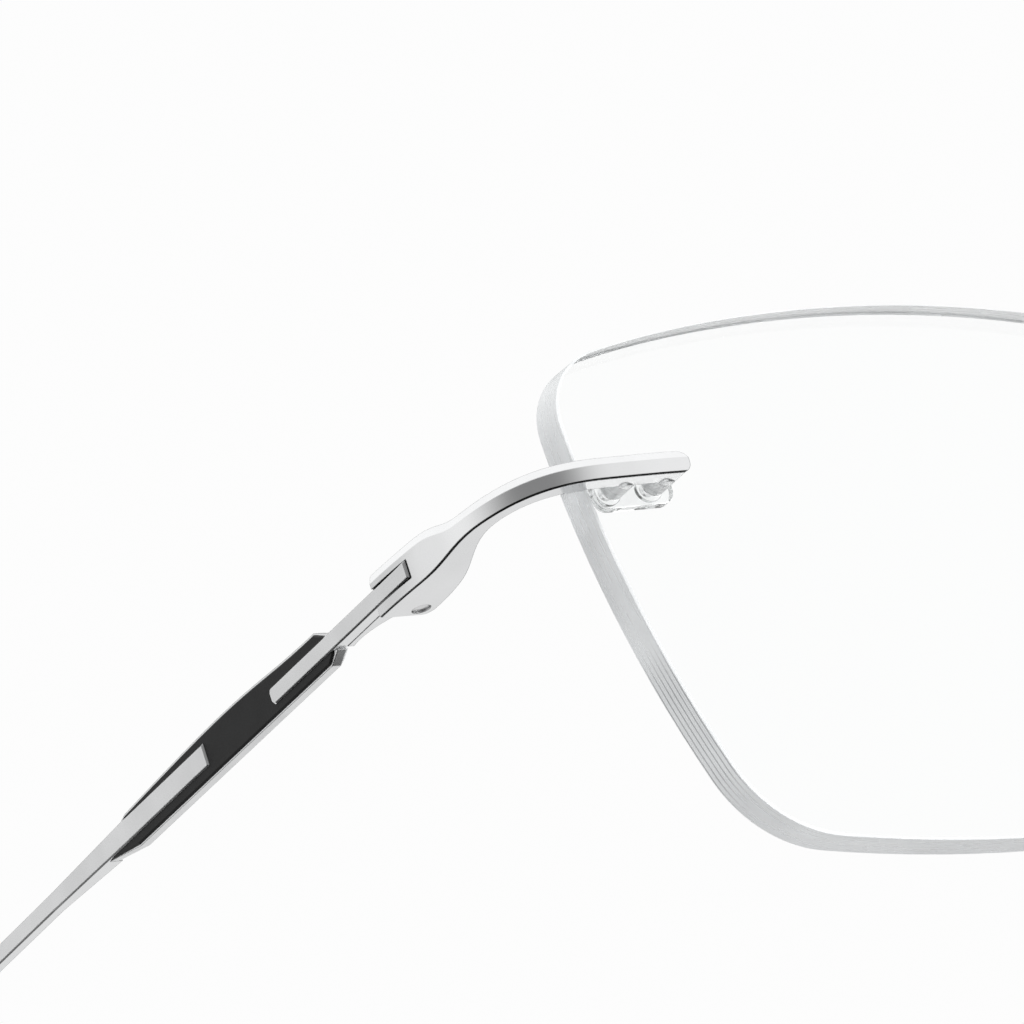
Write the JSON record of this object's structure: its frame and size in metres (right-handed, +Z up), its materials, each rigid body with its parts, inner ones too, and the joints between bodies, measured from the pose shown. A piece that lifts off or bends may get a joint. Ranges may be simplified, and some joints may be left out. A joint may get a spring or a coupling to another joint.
{
  "type": "rimless eyeglasses",
  "caption": "Rimless eyeglasses with screwless bushing mounts, a thin metal bridge, silicone nose pads and folding titanium temples with dark inlays and curved tips.",
  "frame": {"origin": "middle of the footprint, on the plane that the lens bottoms and the temple tips stand on", "axes": "+X to the wearer's left, +Y from the lenses back along the temples, +Z up"},
  "size_m": [0.1424, 0.1544, 0.0378],
  "materials": {
    "frame_metal": "bright satin titanium",
    "wire_metal": "drawn wire, polished",
    "screw_metal": "polished",
    "lens": "clear optical lens with a ground edge",
    "bushing": "clear moulded",
    "inlay": "satin black",
    "tip": "soft-touch black",
    "pad_core": "clear moulded",
    "pad": "clear silicone"
  },
  "bodies": {
    "front": {"bridge": "frame_metal", "left_lens": "lens", "left_end_piece": "frame_metal", "left_temple_side_bushing": "bushing", "left_nose_side_bushing": "bushing", "left_hinge_screw": "screw_metal", "left_pad_arm": "wire_metal", "left_pad_box": "frame_metal", "left_pad_screw": "screw_metal", "right_lens": "lens", "right_end_piece": "frame_metal", "right_temple_side_bushing": "bushing", "right_nose_side_bushing": "bushing", "right_hinge_screw": "screw_metal", "right_pad_arm": "wire_metal", "right_pad_box": "frame_metal", "right_pad_screw": "screw_metal"},
    "left_temple": {"left_temple_hinge_leaf": "frame_metal", "left_temple_front_bar": "frame_metal", "left_temple_inlay": "inlay", "left_temple_back_plate": "frame_metal", "left_temple_rod": "frame_metal", "left_temple_tip": "tip"},
    "right_temple": {"right_temple_hinge_leaf": "frame_metal", "right_temple_front_bar": "frame_metal", "right_temple_inlay": "inlay", "right_temple_back_plate": "frame_metal", "right_temple_rod": "frame_metal", "right_temple_tip": "tip"},
    "left_pad": {"left_pad_core": "pad_core", "left_nose_pad": "pad"},
    "right_pad": {"right_pad_core": "pad_core", "right_nose_pad": "pad"}
  },
  "joints": [
    {"name": "left_temple_fold", "type": "hinge", "parent": "front", "child": "left_temple", "pos_m": [0.06773, -0.05932, 0.02696], "axis": [0, 0, 1], "range_deg": [0, 91]},
    {"name": "right_temple_fold", "type": "hinge", "parent": "front", "child": "right_temple", "pos_m": [-0.06773, -0.05932, 0.02696], "axis": [0, 0, -1], "range_deg": [0, 86.5]},
    {"name": "left_pad_rock", "type": "hinge", "parent": "front", "child": "left_pad", "pos_m": [0.0108, -0.06399, 0.0173], "axis": [0.4695, 0.8829, 0], "range_deg": [-10, 10]},
    {"name": "right_pad_rock", "type": "hinge", "parent": "front", "child": "right_pad", "pos_m": [-0.0108, -0.06399, 0.0173], "axis": [-0.4695, 0.8829, 0], "range_deg": [-10, 10]}
  ]
}
